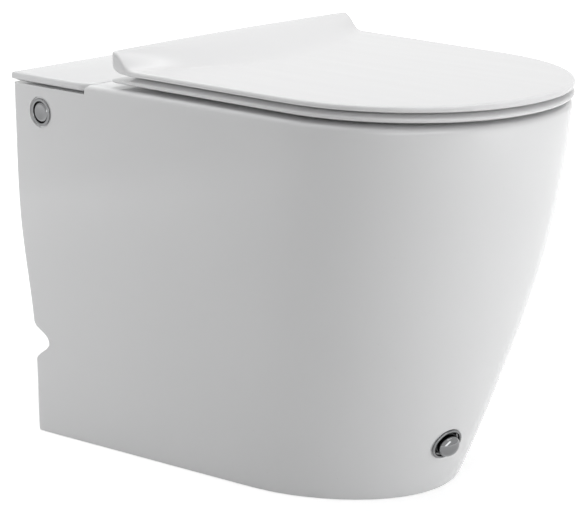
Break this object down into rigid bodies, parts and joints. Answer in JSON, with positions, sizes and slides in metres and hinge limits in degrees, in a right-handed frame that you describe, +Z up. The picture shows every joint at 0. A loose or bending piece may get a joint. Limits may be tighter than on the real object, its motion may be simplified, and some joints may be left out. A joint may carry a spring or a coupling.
{
  "type": "floor-standing toilet",
  "caption": "Back-to-wall floor-standing toilet: skirted ceramic pan, hinged seat and slim lid, lift-off rear cover, push button in the flank and kick button in the nose.",
  "frame": {"origin": "on the floor, under the centre of the whole toilet's plan", "axes": "+Z up; +Y towards the wall behind; -Y towards the nose; the side push button is in the -X flank"},
  "size_m": [0.389, 0.566, 0.4575],
  "materials": {
    "glaze": "white, high gloss",
    "seat_plastic": "white, gloss",
    "chrome": "polished",
    "hinge_metal": "satin",
    "steel": "plain",
    "brass": "as machined",
    "rubber": "matte",
    "fitting_white": "moulded",
    "fitting_grey": "moulded"
  },
  "bodies": {
    "pan": {"bracket_screw_1": "steel", "bracket_screw_2": "steel", "ceramic_bowl": "glaze", "ceramic_outlet": "glaze", "ceramic_pan": "glaze", "ceramic_trap": "glaze", "flush_pipe": "fitting_white", "flush_pipe_seal": "rubber", "flush_valve_body": "brass", "foot_air_tube": "fitting_grey", "foot_button_locknut": "fitting_white", "foot_button_pump": "fitting_grey", "foot_button_ring": "chrome", "foot_button_spring": "steel", "hinge_bolt_left": "steel", "hinge_bolt_right": "steel", "hinge_nut_left": "fitting_white", "hinge_nut_right": "fitting_white", "hinge_pin_left": "steel", "hinge_pin_right": "steel", "hinge_post_left": "hinge_metal", "hinge_post_right": "hinge_metal", "hinge_washer_left": "rubber", "hinge_washer_right": "rubber", "side_air_tube": "fitting_grey", "side_button_locknut": "fitting_white", "side_button_pump": "fitting_grey", "side_button_ring": "chrome", "side_button_spring": "steel", "valve_bracket": "steel", "valve_pilot_head": "fitting_white", "water_inlet_pipe": "brass"},
    "seat": {"seat_ring": "seat_plastic", "seat_damper": "fitting_grey", "seat_buffer_1": "rubber", "seat_buffer_2": "rubber", "seat_buffer_3": "rubber", "seat_buffer_4": "rubber"},
    "lid": {"lid": "seat_plastic", "lid_damper": "fitting_grey", "lid_buffer_1": "rubber", "lid_buffer_2": "rubber", "lid_buffer_3": "rubber", "lid_buffer_4": "rubber"},
    "side_button": {"side_button_cap": "chrome"},
    "foot_button": {"foot_button_dome": "chrome"},
    "cover": {"rear_cover": "glaze", "cover_pad_1": "rubber", "cover_pad_2": "rubber", "cover_pad_3": "rubber", "cover_pad_4": "rubber"}
  },
  "joints": [
    {"name": "seat_hinge", "type": "hinge", "parent": "pan", "child": "seat", "pos_m": [0, 0.125, 0.439], "axis": [-1, 0, 0], "range_deg": [0, 95]},
    {"name": "lid_hinge", "type": "hinge", "parent": "seat", "child": "lid", "pos_m": [0, 0.125, 0.439], "axis": [1, 0, 0], "range_deg": [-95, 0]},
    {"name": "side_button_push", "type": "slide", "parent": "pan", "child": "side_button", "axis": [1, 0, 0], "range_m": [0, 0.004], "stiffness_N_per_m": 400, "springref_m": -0.002, "deforming": ["side_button_spring"]},
    {"name": "foot_button_push", "type": "slide", "parent": "pan", "child": "foot_button", "axis": [0.1741, 0.9115, 0.3726], "range_m": [0, 0.006], "stiffness_N_per_m": 800, "springref_m": -0.002, "deforming": ["foot_button_spring"]},
    {"name": "cover_lift", "type": "slide", "parent": "pan", "child": "cover", "axis": [0, 0, 1], "range_m": [0, 0.05]}
  ]
}
